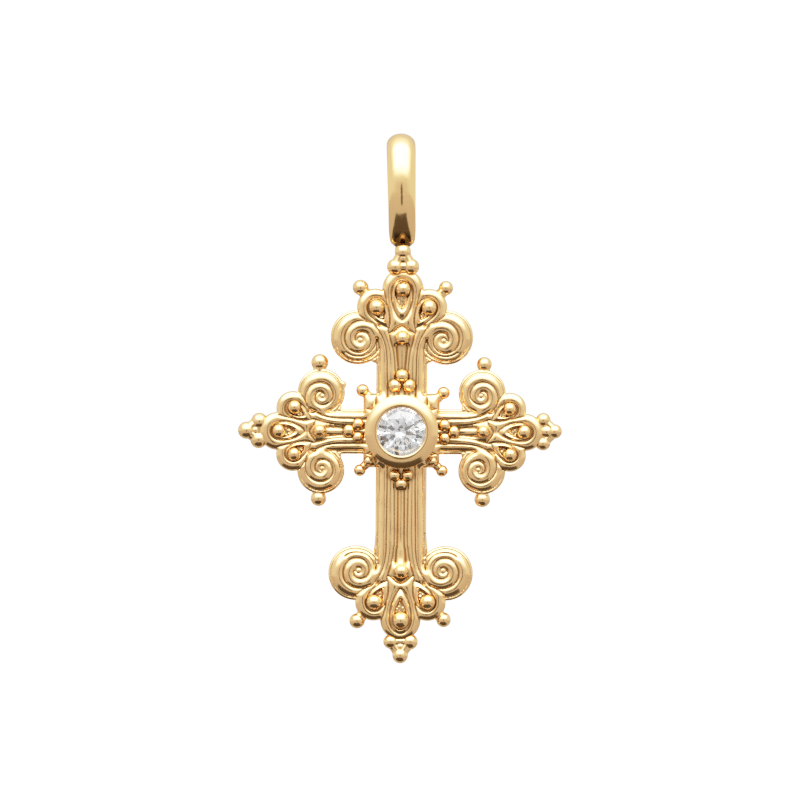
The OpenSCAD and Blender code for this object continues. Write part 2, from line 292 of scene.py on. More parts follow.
# each bead as across, outward from the neck bead, radius
beadPlaces = {
    "top": {
        "end": [(0.04, 6.62, 0.63), (-0.55, 5.46, 0.64), (0.68, 5.47, 0.64), (0.05, 6.12, 0.5)],
        "stud": [(-3.2, 3.86, 0.62), (3.36, 3.85, 0.57)],
        "sunk": [(0.08, 3.75, 0.61), (-1.96, 2.35, 0.61), (2.08, 2.34, 0.61)],
        "neck": [(0.04, 0.0, 0.57)],
        "trefoil": [(0.03, -2.92, 0.52), (-0.52, -3.68, 0.54), (0.58, -3.68, 0.54)],
    },
    "foot": {
        "end": [(0.0, 6.44, 0.62), (0.72, 5.4, 0.58), (-0.75, 5.4, 0.6), (0.0, 5.8, 0.45)],
        "stud": [(3.32, 3.82, 0.6), (-3.32, 3.7, 0.58)],
        "sunk": [(-0.03, 3.76, 0.66), (2.02, 2.36, 0.6), (-2.1, 2.34, 0.6)],
        "neck": [(-0.05, 0.0, 0.56)],
        "trefoil": [(0.0, -6.72, 0.51), (0.5, -7.39, 0.49), (-0.5, -7.39, 0.49)],
    },
    "left": {
        "end": [(0.04, 5.62, 0.66), (0.75, 4.64, 0.65), (-0.66, 4.68, 0.67), (0.04, 4.96, 0.48)],
        "stud": [(5.28, 0.02, 0.66), (-5.16, 0.06, 0.62)],
        "sunk": [(0.02, 3.14, 0.53), (1.84, 1.94, 0.53), (-1.77, 1.95, 0.53)],
        "neck": [(0.03, 0.0, 0.49)],
        "trefoil": [(0.05, -2.24, 0.5), (0.56, -2.95, 0.48), (-0.44, -2.95, 0.48)],
    },
    "right": {
        "end": [(-0.08, 5.5, 0.55), (-0.94, 4.62, 0.56), (0.84, 4.6, 0.57), (-0.06, 4.86, 0.58)],
        "stud": [(-5.2, 0.06, 0.6), (5.18, -0.04, 0.61)],
        "sunk": [(-0.03, 3.15, 0.53), (-1.79, 2.03, 0.52), (1.73, 2.09, 0.54)],
        "neck": [(-0.03, 0.0, 0.49)],
        "trefoil": [(0.0, -2.24, 0.49), (-0.5, -2.96, 0.49), (0.5, -2.96, 0.49)],
    },
}

# corner balls and the beads inside them, straight on the cross
cornerBalls = [(-3.0, 3.16, 0.48), (3.22, 3.0, 0.49), (-3.18, -2.98, 0.45), (3.13, -3.0, 0.45)]
cornerRoots = [(-2.51, -2.27, 0.36), (2.43, -2.27, 0.36)]


def beadSpot(arm, u, v, level):
    x, y = turnPoints([(u, v + arm["neck"])], arm["turn"])[0]
    return (x, y, level)


def beadRows(b):
    # every bead on the cross as x, y, level, radius and whether it rises out of the relief
    rows = []
    for name, kinds in beadPlaces.items():
        levels = {
            "end": b["endLevel"][name], "stud": b["studLevel"],
            "sunk": b["sunkLevel"], "neck": b["neckLevel"], "trefoil": b["trefoilLevel"],
        }
        arm = arms[name]
        for kind, places in kinds.items():
            for u, v, radius in places:
                rows.append(beadSpot(arm, u, v, levels[kind]) + (radius, kind not in ("end", "stud")))
    rows += [(x, y, b["cornerLevel"], radius, False) for x, y, radius in cornerBalls]
    rows += [(x, y, b["cornerRootLevel"], radius, True) for x, y, radius in cornerRoots]
    return np.array(rows, float)


def gussetCorners(arm, side):
    # fills the sharp corner between a volute and the shaft
    along, across = arm["gusset"]
    (u, v), radius = ornament["volute"]
    u, v = u + arm["scroll"][0], v + arm["scroll"][1]
    inward, upward = ornament["gussetUnder"]
    edge = arm["shaft"] / arm["size"]
    corner = v - math.sqrt(radius**2 - (u - edge) ** 2)
    far = v - math.sqrt(radius**2 - (u - edge - across) ** 2)
    corners = [
        (edge - inward, corner - along), (edge, corner - along),
        (edge + across, far), (edge - inward, far + upward),
    ]
    return onArm(arm, corners, side)[::side]


def plateShapes(c, inset):
    # circles, boxes and corners that make up the plate, each drawn in by inset
    shapes = []
    little = c["lobeLip"] * inset
    (u, v), voluteRadius = ornament["volute"]
    heart, heartRadius = ornament["heart"]
    for arm in arms.values():
        size = arm["size"]
        aside, outward = arm["scroll"]
        for place, radius, lip, sides in (
            ((u + aside, v + outward), voluteRadius, inset, (1, -1)),
            (ornament["sideLobe"], arm["lobeRadius"], little, (1, -1)),
            ((arm["endAside"], ornament["endLobe"]), arm["endRadius"], little, (1,)),
            (heart, heartRadius, little, (1,)),
        ):
            for side in sides:
                shapes.append(("circle", onArm(arm, [place], side)[0], radius * size - lip))
        shapes += [("corners", gussetCorners(arm, side), 1.0) for side in (1, -1)]
        reach = arm["neck"] + size * c["shaftRun"][1]
        shapes.append(("box", arm["turn"], arm["shaft"] - inset, reach))
    half, above, below = c["square"]
    shapes.append(("box", 0, half - little, above - little))
    shapes.append(("box", 180, half - little, below - little))
    middle, radius = c["nub"]
    shapes.append(("circle", np.array(middle), radius - inset))
    return [s for s in shapes if s[-1] > c["smallest"]]


def shapeLoop(c, shape, step):
    if shape[0] == "circle":
        return roundLoop(shape[1], shape[2], step)
    if shape[0] == "corners":
        return evenLoop(shape[1], step)
    return turnPoints(boxLoop((-shape[2], c["shaftRun"][0]), (shape[2], shape[3]), step), shape[1])


def depthIn(c, shapes, p):
    # how far points lie inside the union of the shapes
    far = 9.0
    best = np.full(len(p), -far)
    for s in shapes:
        if s[0] == "circle":
            d = s[2] - np.hypot(p[:, 0] - s[1][0], p[:, 1] - s[1][1])
        elif s[0] == "corners":
            d = np.full(len(p), far)
            for a, b in zip(s[1], np.roll(s[1], -1, axis=0)):
                way = (b - a) / np.linalg.norm(b - a)
                d = np.minimum(d, way[0] * (p[:, 1] - a[1]) - way[1] * (p[:, 0] - a[0]))
        else:
            q = turnPoints(p, -s[1])
            d = np.minimum(q[:, 1] - c["shaftRun"][0], s[3] - q[:, 1])
            d = np.minimum(s[2] - np.abs(q[:, 0]), d)
        best = np.maximum(best, d)
    return best


def armCreases(arm, step):
    # open creases of one arm as (kind, points)
    size = arm["size"]
    o = ornament
    inner = -(arm["neck"] - o["creaseFoot"]) / size
    firstTurn, lastTurn = o["coilRadius"][0][0], o["coilRadius"][-1][0]
    turns = np.arange(firstTurn, lastTurn + 1, o["coilStep"])
    radii = smoothValue(o["coilRadius"], turns)
    t = np.radians(turns)
    drift = np.clip((turns - firstTurn) / o["coilDrift"], 0, 1)
    lines = []
    for side in (1, -1):
        aside, outward = arm["coil"][side]
        coil = np.column_stack([
            o["coilMiddle"][0] + aside * drift - radii * np.cos(t),
            o["coilMiddle"][1] + outward * drift + radii * np.sin(t),
        ])
        for kind, foot, rise in (
            ("flute", o["fluteFoot"], o["fluteRise"] + [tuple(q) for q in coil]),
            ("panel", o["panelFoot"], o["panelSide"]),
            ("channel", o["channelFoot"], o["channelSide"]),
        ):
            lines.append((kind, onArm(arm, smoothPath([(foot, inner)] + rise, step / size), side)))
        joint = [(side * arm["shaft"], v) for v in o["joint"]]
        lines.append(("joint", turnPoints(smoothPath(joint, step), arm["turn"])))
        for kind, name in (
            ("rim", "coilRim"), ("notch", "crotch"), ("notch", "crotchFoot"),
            ("seam", "lobeSeam"), ("seam", "dropLink"), ("seam", "endSeam"),
        ):
            if kind in ("rim", "notch") and not arm["rims"]:
                continue
            lines.append((kind, onArm(arm, smoothPath(o[name], step / size), side)))
    lines.append(("arch", onArm(arm, smoothPath(o["arch"], step / size))))
    return lines


def armLoops(arm, step):
    # closed creases of one arm as (kind, points)
    size = arm["size"]
    loops = []
    for kind, name in (
        ("drop", "sideDrop"), ("crest", "sideCrest"), ("pit", "sidePit"),
        ("drop", "endDrop"), ("crest", "endCrest"), ("pit", "endPit"),
    ):
        point, end, halfWidth, blunt = ornament[name]
        if name.startswith("end"):
            end = (end[0], end[1] + arm["endReach"])
        for side in ((1, -1) if point[0] else (1,)):
            loop = dropOutline(point, end, halfWidth, blunt, step / size)
            loops.append((kind, onArm(arm, loop, side)))
    (u, v), radius = ornament["knob"]
    for side in (1, -1):
        centre = (u + arm["coil"][side][0], v + arm["coil"][side][1])
        loops.append(("knob", onArm(arm, roundLoop(centre, radius, step / size), side)))
    return loops


# the mesh of the relief

def triangulate(loops, lines, filler):
    # a mesh that keeps every crease: its points and triangles, the kinds of loop that each triangle
    # lies in, and the kind of each edge that is on an open crease
    points, faces, edges = [], [], []
    for _, loop in loops:
        after = np.roll(loop, -1, axis=0)
        if (loop[:, 0] * after[:, 1] - loop[:, 1] * after[:, 0]).sum() < 0:
            loop = loop[::-1]   # a loop has to run anticlockwise
        faces.append(list(range(len(points), len(points) + len(loop))))
        points.extend(map(tuple, loop))
    for _, line in lines:
        first = len(points)
        edges.extend((first + i, first + i + 1) for i in range(len(line) - 1))
        points.extend(map(tuple, line))
    edgeKind = [kind for kind, line in lines for _ in range(len(line) - 1)]
    points.extend(map(tuple, filler))
    out = delaunay_2d_cdt([Vector(p) for p in points], edges, faces, 0, 1e-5, True)
    flat = np.array([tuple(v) for v in out[0]])
    triangles = np.array(out[2])
    inside = {kind: np.zeros(len(triangles), bool) for kind, _ in loops}
    for i, owners in enumerate(out[5]):
        for k in owners:
            inside[loops[k][0]][i] = True
    lineKind = {}
    for pair, sources in zip(out[1], out[4]):
        kinds = [edgeKind[s] for s in sources if s < len(edges)]
        if kinds:
            lineKind[(min(pair), max(pair))] = min(kinds, key=lambda k: creaseLevel[k])
    return flat, triangles, inside, lineKind


def hexPoints(low, high, step):
    ratio = 0.866               # height of an even triangle against its side
    rows = int((high[1] - low[1]) / (step * ratio)) + 1
    columns = int((high[0] - low[0]) / step) + 1
    j, i = np.meshgrid(np.arange(rows), np.arange(columns), indexing="ij")
    x = low[0] + (i + 0.5 * (j % 2)) * step
    y = low[1] + j * step * ratio
    return np.column_stack([x.ravel(), y.ravel()])


def nearest(tree, p):
    return np.array([tree.find((q[0], q[1], 0))[2] for q in p])


def treeOf(p):
    tree = kdtree.KDTree(len(p))
    for i, q in enumerate(p):
        tree.insert((q[0], q[1], 0), i)
    tree.balance()
    return tree


def solveSheet(flat, triangles, fixed, levels, load):
    # the level of a skin that hangs between the fixed points under an even load
    count = len(flat)
    i, j, k = triangles.T
    weightRows, firstRows, secondRows = [], [], []
    area = np.zeros(count)
    least = 0.02                # weight of an edge between blunt triangles
    mostSteps, goodEnough = 600, 1e-9
    for a, b, c in ((i, j, k), (j, k, i), (k, i, j)):
        u, v = flat[a] - flat[c], flat[b] - flat[c]
        cross = np.abs(u[:, 0] * v[:, 1] - u[:, 1] * v[:, 0]) + 1e-12
        weightRows.append(np.maximum((u * v).sum(1) / cross, least) / 2)
        firstRows.append(a)
        secondRows.append(b)
        area += np.bincount(c, cross / 6, count)
    weight = np.concatenate(weightRows)
    first, second = np.concatenate(firstRows), np.concatenate(secondRows)
    diagonal = np.bincount(first, weight, count) + np.bincount(second, weight, count) + 1e-12
    free = (~fixed).astype(float)
    level = np.where(fixed, levels, 0.0)

    def pull(x):
        return (diagonal * x - np.bincount(first, weight * x[second], count)
                - np.bincount(second, weight * x[first], count))

    rest = (area * load - pull(level)) * free
    step = rest / diagonal
    gain = (rest * step).sum()
    for _ in range(mostSteps):
        pulled = pull(step) * free
        reach = gain / (step * pulled).sum()
        level = level + reach * step
        rest = rest - reach * pulled
        if np.abs(rest).max() < goodEnough:
            break
        newGain = (rest * rest / diagonal).sum()
        step = rest / diagonal + newGain / gain * step
        gain = newGain
    return level


def waves(p, seed, size, longest, shortest):
    # a slow unevenness, the same each run
    dice = np.random.default_rng(seed)
    total = np.zeros(len(p))
    count = 18
    for _ in range(count):
        angle, phase = dice.uniform(0, 2 * math.pi, 2)
        length = dice.uniform(shortest, longest)
        along = p[:, 0] * math.cos(angle) + p[:, 1] * math.sin(angle)
        total += np.sin(along * 2 * math.pi / length + phase)
    return total * size / math.sqrt(count / 2)


def fillerPoints(c, outer, held):
    # fine points beside the creases and wide ones in the open
    low, high = held.min(0), held.max(0)
    tree = treeOf(held)
    fine = c["fineStep"]
    near = hexPoints(low, high, fine)
    near = near[depthIn(c, outer, near) > 0.5 * fine]
    away = nearest(tree, near)
    near = near[(away > 0.55 * fine) & (away < c["fineReach"])]
    near = near[np.hypot(near[:, 0], near[:, 1]) >= c["bareRadius"]]
    broad = hexPoints(low, high, c["wideStep"])
    broad = broad[depthIn(c, outer, broad) > 0.5 * fine]
    broad = broad[nearest(tree, broad) >= c["fineReach"]]
    return np.vstack([near, broad])


def facing(flat, triangles, way):
    # turns every triangle to face the viewer, or away with way = -1
    a, b, c = (flat[triangles[:, k]] for k in range(3))
    area = (b[:, 0] - a[:, 0]) * (c[:, 1] - a[:, 1]) - (b[:, 1] - a[:, 1]) * (c[:, 0] - a[:, 0])
    turned = area * way < 0
    triangles[turned] = triangles[turned][:, ::-1]
    return triangles


def pairedEdges(triangles, count):
    # the edges between two triangles with the one and the other triangle, and the edges of the rim
    sides = np.vstack([triangles[:, [0, 1]], triangles[:, [1, 2]], triangles[:, [2, 0]]])
    owner = np.tile(np.arange(len(triangles)), 3)
    ordered = np.sort(sides, axis=1)
    key = ordered[:, 0].astype(np.int64) * count + ordered[:, 1]
    order = np.argsort(key, kind="stable")
    key, owner, ordered, sides = key[order], owner[order], ordered[order], sides[order]
    same = key[1:] == key[:-1]
    paired = np.zeros(len(key), bool)
    paired[1:] |= same
    paired[:-1] |= same
    first = np.where(same)[0]
    return ordered[first], owner[first], owner[first + 1], sides[~paired]


def creasePoints(count, pairs, one, two, rim, inside, lineKind):
    # the level of every point on a crease, with infinity elsewhere, and which of them get painted shade
    level = np.full(count, np.inf)
    dark = np.zeros(count, bool)

    def hold(edges, kind):
        ends = edges.ravel()
        level[ends] = np.minimum(level[ends], creaseLevel[kind])
        dark[ends] = kind not in ("outline", "lip", "knob", "pit")

    for kind in ("lip", "drop", "pit", "knob"):
        hold(pairs[inside[kind][one] != inside[kind][two]], kind)
    masked = inside["drop"] | inside["knob"]
    for (i, j), left, right in zip(pairs, one, two):
        kind = lineKind.get((i, j))
        if kind and not masked[left] and not masked[right] and inside["lip"][left]:
            hold(np.array([i, j]), kind)
    hold(rim, "outline")
    return level, dark


def paintedShadeOf(c, flat, height, dark, pit):
    # painted shade in the creases and the pits and round the foot of the beads
    paintedShade = np.exp(-nearest(treeOf(flat[dark]), flat) / c["darkFade"])
    paintedShade = np.maximum(paintedShade * (height < c["darkTop"]), c["pitDark"] * pit)
    share, fade = c["beadDark"]
    for x, y, _, radius, rising in beadRows(beads):
        away = np.abs(np.hypot(flat[:, 0] - x, flat[:, 1] - y) - radius)
        paintedShade = np.maximum(paintedShade, share * rising * np.exp(-away / fade))
    return paintedShade


def makeRelief(c):
    # the relief's points and triangles, their levels and painted shade, and the edges of its rim
    outer = plateShapes(c, 0)
    loops = [("outline", shapeLoop(c, s, c["fineStep"])) for s in outer]
    loops += [("lip", shapeLoop(c, s, c["fineStep"])) for s in plateShapes(c, c["lipWidth"])]
    lines = []
    for arm in arms.values():
        loops += armLoops(arm, c["fineStep"])
        lines += armCreases(arm, c["fineStep"])
    filler = fillerPoints(c, outer, np.vstack([p for _, p in loops + lines]))
    flat, triangles, inside, lineKind = triangulate(loops, lines, filler)
    keep = inside["outline"]
    triangles = facing(flat, triangles[keep], 1)
    inside = {kind: mask[keep] for kind, mask in inside.items()}
    count = len(flat)

    def touched(mask):
        # 1 at the points of the masked triangles
        points = np.zeros(count)
        points[triangles[mask].ravel()] = 1
        return points

    # a skin hung between the creases swells into bands, and rises to the crest round each drop
    pairs, one, two, rim = pairedEdges(triangles, count)
    level, dark = creasePoints(count, pairs, one, two, rim, inside, lineKind)
    unused = np.bincount(triangles.ravel(), minlength=count) == 0
    fixed = np.isfinite(level) | unused
    swell = solveSheet(flat, triangles, fixed, np.zeros(count), 1)
    crest = pairs[inside["crest"][one] != inside["crest"][two]].ravel()
    crest = crest[~fixed[crest]]
    level[crest] = creaseLevel["crest"]
    level[~np.isfinite(level)] = 0
    held = fixed.copy()
    held[crest] = True
    base = solveSheet(flat, triangles, held, level, 0)
    pit = touched(inside["pit"])
    share = c["roundness"] * (1 - pit) * (1 - (1 - c["dropShare"]) * touched(inside["drop"]))
    height = base + share * np.sqrt(2 * np.maximum(swell, 0))
    height += waves(flat, c["seed"], *c["wobble"]) * ~fixed
    height += pit * waves(flat, c["seed"] + 1, *c["pitWobble"])
    height -= c["pitDepth"] * (1 - touched(~inside["pit"]))
    radius, floor = c["well"]
    height = np.where(np.hypot(flat[:, 0], flat[:, 1]) < radius, floor - c["faceLevel"], height)
    paintedShade = paintedShadeOf(c, flat, height, dark, pit)
    print("relief:", count, "points,", len(triangles), "triangles")
    return flat, triangles, c["faceLevel"] + height, paintedShade, rim


def makeBack(c, flat, rim):
    # the plain back, its edge rounded over, on the same outline
    after = {int(i): int(j) for i, j in rim}
    loop = [int(rim[0][0])]
    while after[loop[-1]] != loop[0]:
        loop.append(after[loop[-1]])
    edge = flat[loop]
    low, high = edge.min(0), edge.max(0)
    tree = treeOf(edge)
    shapes = plateShapes(c, 0)
    closeStep, wideStep = c["backSteps"]
    insideGap, pointGap = c["backGaps"]
    reach = c["backReach"]
    near = hexPoints(low, high, closeStep)
    near = near[depthIn(c, shapes, near) > insideGap]
    away = nearest(tree, near)
    near = near[(away > pointGap) & (away < reach)]
    broad = hexPoints(low, high, wideStep)
    broad = broad[depthIn(c, shapes, broad) > reach]
    broad = broad[nearest(tree, broad) >= reach]
    points = np.vstack([edge, near, broad])
    out = delaunay_2d_cdt([Vector(p) for p in points], [], [list(range(len(loop)))], 0, 1e-7, True)
    backFlat = np.array([tuple(v) for v in out[0]])
    triangles = np.array([face for face, owners in zip(out[2], out[5]) if owners])
    triangles = facing(backFlat, triangles, -1)
    source = {}
    for k, names in enumerate(out[3]):
        for name in names:
            if name < len(loop):
                source[loop[name]] = k
    r = c["backRound"]
    depth = np.minimum(nearest(tree, backFlat), r)
    level = c["backLevel"] + r - np.sqrt(np.maximum(r * r - (r - depth) ** 2, 0))
    return backFlat, triangles, level, source


def setPaintedShade(piece, shadeAmount):
    # how much painted shade darkens the gold at each point of a piece, from 0 to 1
    shade = piece.data.attributes.new("paintedShade", "FLOAT", "POINT")
    shade.data.foreach_set("value", np.ravel(shadeAmount).astype(np.float32))


def castingPiece(c, material):
    flat, triangles, height, paintedShade, rim = makeRelief(c)
    backFlat, backTriangles, backLevel, source = makeBack(c, flat, rim)
    first = len(flat)
    points = np.vstack([np.column_stack([flat, height]), np.column_stack([backFlat, backLevel])])
    faces = [tuple(t) for t in triangles] + [tuple(t + first) for t in backTriangles]
    faces += [(j, i, source[i] + first, source[j] + first) for i, j in rim.tolist()]
    piece = addMesh("castRelief", toWorld(points), faces)
    setPaintedShade(piece, np.concatenate([paintedShade, np.zeros(len(backFlat))]))
    piece.data.materials.append(material)
    print("casting:", len(faces), "faces, of which", len(rim), "round its edge")
    return piece


# materials

def newMaterial(name):
    material = bpy.data.materials.new(name)
    material.use_nodes = True
    tree = material.node_tree
    tree.nodes.clear()
    output = tree.nodes.new("ShaderNodeOutputMaterial")
    shader = tree.nodes.new("ShaderNodeBsdfPrincipled")
    tree.links.new(shader.outputs[0], output.inputs[0])
    return material, tree, shader


def wire(tree, kind, inputs=None, **settings):
    node = tree.nodes.new(kind)
    for name, value in settings.items():
        setattr(node, name, value)
    for key, value in (inputs or {}).items():
        if isinstance(value, bpy.types.NodeSocket):
            tree.links.new(value, node.inputs[key])
        else:
            node.inputs[key].default_value = value
    return node


def blend(tree, share, one, two):
    # a colour between two others, which are values or sockets
    mix = tree.nodes.new("ShaderNodeMix")
    mix.data_type = "RGBA"
    tree.links.new(share, mix.inputs[0])
    for socket, value in ((mix.inputs[6], one), (mix.inputs[7], two)):
        if isinstance(value, bpy.types.NodeSocket):
            tree.links.new(value, socket)
        else:
            socket.default_value = value
    return mix.outputs[2]


def sumOf(tree, operation, *inputs):
    # one sum worked out from values or sockets
    return wire(tree, "ShaderNodeMath", dict(enumerate(inputs)), operation=operation).outputs[0]


def placeInMm(tree):
    place = wire(tree, "ShaderNodeTexCoord").outputs["Object"]
    return wire(tree, "ShaderNodeMapping", {"Vector": place, "Scale": (1 / mm,) * 3}).outputs[0]


def noiseAt(tree, place, scale, detail):
    noise = wire(tree, "ShaderNodeTexNoise", {"Vector": place, "Scale": scale, "Detail": detail})
    return noise.outputs["Fac"]


goldLook = {
    "face": (0.97, 0.63, 0.3, 1),
    "warm": (0.94, 0.57, 0.25, 1),
    "cloud": (0.9, 3.0),        # scale per mm and detail of the slow change between face and warm
    # colour of the painted shade
    "shadeColour": (0.13, 0.078, 0.03, 1),
    "darkness": 0.92,           # share of the painted shade colour where the painted shade is fullest
    "grain": (5.5, 4.0),        # scale per mm and detail of the fine unevenness
    "grainRange": (0.3, 0.7),   # what it gives, for the smoothest and the roughest spots
    "roughness": (0.1, 0.17),
    "bump": 0.05,
    "bumpHeight": 0.00005,
}
# the bail's gold, with its own colours and a darker painted shade colour
bailLook = dict(
    goldLook, face=(0.99, 0.65, 0.3, 1), warm=(0.97, 0.61, 0.26, 1),
    shadeColour=(0.12, 0.075, 0.028, 1), darkness=0.97, bump=0.02,
)


def goldMaterial(name, look, shadePainted):
    material, tree, shader = newMaterial(name)
    place = placeInMm(tree)
    colour = blend(tree, noiseAt(tree, place, *look["cloud"]), look["face"], look["warm"])
    if shadePainted:
        # painted shade: the colour darkens towards the shade colour where the piece carries it
        shadeAmount = wire(tree, "ShaderNodeAttribute", attribute_name="paintedShade").outputs["Fac"]
        colour = blend(tree, sumOf(tree, "MULTIPLY", shadeAmount, look["darkness"]), colour, look["shadeColour"])
    tree.links.new(colour, shader.inputs["Base Color"])
    shader.inputs["Metallic"].default_value = 1.0
    grain = noiseAt(tree, place, *look["grain"])
    least, most = look["grainRange"]
    low, high = look["roughness"]
    rough = wire(tree, "ShaderNodeMapRange", {
        "Value": grain, "From Min": least, "From Max": most, "To Min": low, "To Max": high,
    })
    tree.links.new(rough.outputs[0], shader.inputs["Roughness"])
    bump = wire(tree, "ShaderNodeBump", {
        "Height": grain, "Strength": look["bump"], "Distance": look["bumpHeight"],
    })
    tree.links.new(bump.outputs[0], shader.inputs["Normal"])
    return material


castGold = goldMaterial("castGold", goldLook, True)
plainGold = goldMaterial("plainGold", dict(goldLook, bump=0.02), False)
bailGold = goldMaterial("bailGold", bailLook, True)


def keepPiece(piece, body, node):
    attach(piece, body)
    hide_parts(node)


keepPiece(castingPiece(casting, castGold), "cross", "cross")


def beadTree(material):
    # an uneven ball on every point, with the radius that the point carries
    tree = bpy.data.node_groups.new("beadsOnPoints", "GeometryNodeTree")
    for name, kind in (
        ("Geometry", "Geometry"), ("Detail", "Int"), ("Unevenness", "Float"), ("Seed", "Int"),
    ):
        tree.interface.new_socket(name, in_out="INPUT", socket_type="NodeSocket" + kind)
    tree.interface.new_socket("Geometry", in_out="OUTPUT", socket_type="NodeSocketGeometry")
    given = tree.nodes.new("NodeGroupInput").outputs
    ball = wire(tree, "GeometryNodeMeshIcoSphere", {"Radius": 1.0, "Subdivisions": given["Detail"]})
    low = sumOf(tree, "SUBTRACT", 1.0, given["Unevenness"])
    high = sumOf(tree, "ADD", 1.0, given["Unevenness"])
    dice = tree.nodes.new("FunctionNodeRandomValue")
    dice.data_type = "FLOAT_VECTOR"
    tree.links.new(low, dice.inputs[0])
    tree.links.new(high, dice.inputs[1])
    tree.links.new(given["Seed"], dice.inputs["Seed"])
    radius = wire(tree, "GeometryNodeInputNamedAttribute", {"Name": "radius"}, data_type="FLOAT")
    size = tree.nodes.new("ShaderNodeVectorMath")
    size.operation = "SCALE"
    tree.links.new(dice.outputs[0], size.inputs[0])
    tree.links.new(radius.outputs[0], size.inputs["Scale"])
    placed = tree.nodes.new("GeometryNodeInstanceOnPoints")
    tree.links.new(given["Geometry"], placed.inputs["Points"])
    tree.links.new(ball.outputs["Mesh"], placed.inputs["Instance"])
    tree.links.new(size.outputs[0], placed.inputs["Scale"])
    solid = wire(tree, "GeometryNodeRealizeInstances", {"Geometry": placed.outputs[0]})
    smooth = wire(tree, "GeometryNodeSetShadeSmooth", {"Geometry": solid.outputs[0]})
    gilt = wire(tree, "GeometryNodeSetMaterial", {"Geometry": smooth.outputs[0], "Material": material})
    result = tree.nodes.new("NodeGroupOutput")
    tree.links.new(gilt.outputs[0], result.inputs[0])
    return tree


def settled(piece, tree, values):
    # runs the tree once and leaves its result as a plain mesh
    step = piece.modifiers.new("build", "NODES")
    step.node_group = tree
    for item in tree.interface.items_tree:
        if item.in_out == "INPUT" and item.name in values:
            step[item.identifier] = values[item.name]
    graph = bpy.context.evaluated_depsgraph_get()
    made = bpy.data.meshes.new_from_object(piece.evaluated_get(graph))
    piece.modifiers.clear()
    piece.data = made
    return piece


def beadPiece(b, material):
    rows = beadRows(b)
    piece = addMesh("castBeads", toWorld(rows[:, :3]), [], smooth=False)
    sizes = piece.data.attributes.new("radius", "FLOAT", "POINT")
    sizes.data.foreach_set("value", (rows[:, 3] * mm).astype(np.float32))
    tree = beadTree(material)
    settled(piece, tree, {"Detail": b["detail"], "Unevenness": b["unevenness"], "Seed": b["seed"]})
    # a bead that rises out of the relief gets painted shade round its foot
    places = np.empty(3 * len(piece.data.vertices), np.float32)
    piece.data.vertices.foreach_get("co", places)
    owner = np.repeat(np.arange(len(rows)), len(piece.data.vertices) // len(rows))
    top, height = b["shadeTop"]
    setPaintedShade(piece, rows[owner, 4] * b["footShade"] * np.clip((top + places[1::3] / mm) / height, 0, 1))
    print("beads:", len(rows), "beads,", len(piece.data.polygons), "faces")
    return piece


keepPiece(beadPiece(beads, castGold), "cross", "cross")


# the short stems that hold the studs, the end beads and the corner balls

stems = {
    "sides": 20,
    "studShare": 0.84,          # stem radius as a share of its bead's
    "endShare": 0.8,
    "waist": 0.9,
    "cornerShare": 0.7,
    "cornerStart": 0.7,         # where a corner's stem starts, as a share of its ball's way out
    "cornerTaper": 1.2,
    "cornerDrop": 0.1,          # how far these stems lie under the middle of their ball
}


def postMesh(a, b, ra, rb, waist, sides):
    # a round post between two points that narrows in its middle
    a, b = np.array(a, float), np.array(b, float)
    way = (b - a) / np.linalg.norm(b - a)
    one = np.cross(way, (0, 0, 1.0) if abs(way[2]) < 0.9 else (0, 1.0, 0))
    one /= np.linalg.norm(one)
    two = np.cross(way, one)
    rings = 9
    t = np.linspace(0, 1, rings)
    radius = (ra + (rb - ra) * t) * (1 - (1 - waist) * 4 * t * (1 - t))
    turn = np.arange(sides) * 2 * math.pi / sides
    ring = np.outer(np.cos(turn), one) + np.outer(np.sin(turn), two)
    points = np.vstack([a + (b - a) * s + ring * r for s, r in zip(t, radius)])
    faces = []
    for i in range(rings - 1):
        for j in range(sides):
            k = (j + 1) % sides
            faces.append((i * sides + j, i * sides + k, (i + 1) * sides + k, (i + 1) * sides + j))
    faces.append(tuple(range(sides))[::-1])
    last = (rings - 1) * sides
    faces.append(tuple(range(last, last + sides)))
    return points, faces


def joined(parts):
    # one mesh from several, each as its points and faces
    points, faces, count = [], [], 0
    for p, f in parts:
        points.append(np.asarray(p, float))
        faces += [tuple(i + count for i in face) for face in f]
        count += len(p)
    return np.vstack(points), faces


def stemPiece(c, b, material):
    parts = []
    for name, kinds in beadPlaces.items():
        arm = arms[name]
        size = arm["size"]
        ends = kinds["end"]
        for one, two in ((0, 1), (0, 2), (1, 2)):
            share = c["endShare"] * min(ends[one][2], ends[two][2])
            start, end = (beadSpot(arm, *ends[k][:2], b["endLevel"][name]) for k in (one, two))
            parts.append(postMesh(start, end, share, share, c["waist"], c["sides"]))
        for u, v, radius in kinds["stud"]:
            # a stud stands on its side lobe, or on the volute of the smaller arms
            root = ornament["sideLobe"] if size == 1 else ornament["volute"][0]
            start = beadSpot(arm, math.copysign(1, u) * root[0] * size, root[1] * size, b["studLevel"])
            share = c["studShare"] * radius
            end = beadSpot(arm, u, v, b["studLevel"])
            parts.append(postMesh(start, end, share, share, c["waist"], c["sides"]))
    level = b["cornerLevel"] - c["cornerDrop"]
    for x, y, radius in cornerBalls:
        share = c["cornerShare"] * radius
        start = (x * c["cornerStart"], y * c["cornerStart"], level)
        parts.append(postMesh(start, (x, y, level), share * c["cornerTaper"], share, 1, c["sides"]))
    points, faces = joined(parts)
    piece = addMesh("castStems", toWorld(points), faces)
    piece.data.materials.append(material)
    print("stems:", len(parts), "stems")
    return piece


keepPiece(stemPiece(stems, beads, castGold), "cross", "cross")


# collar and stone

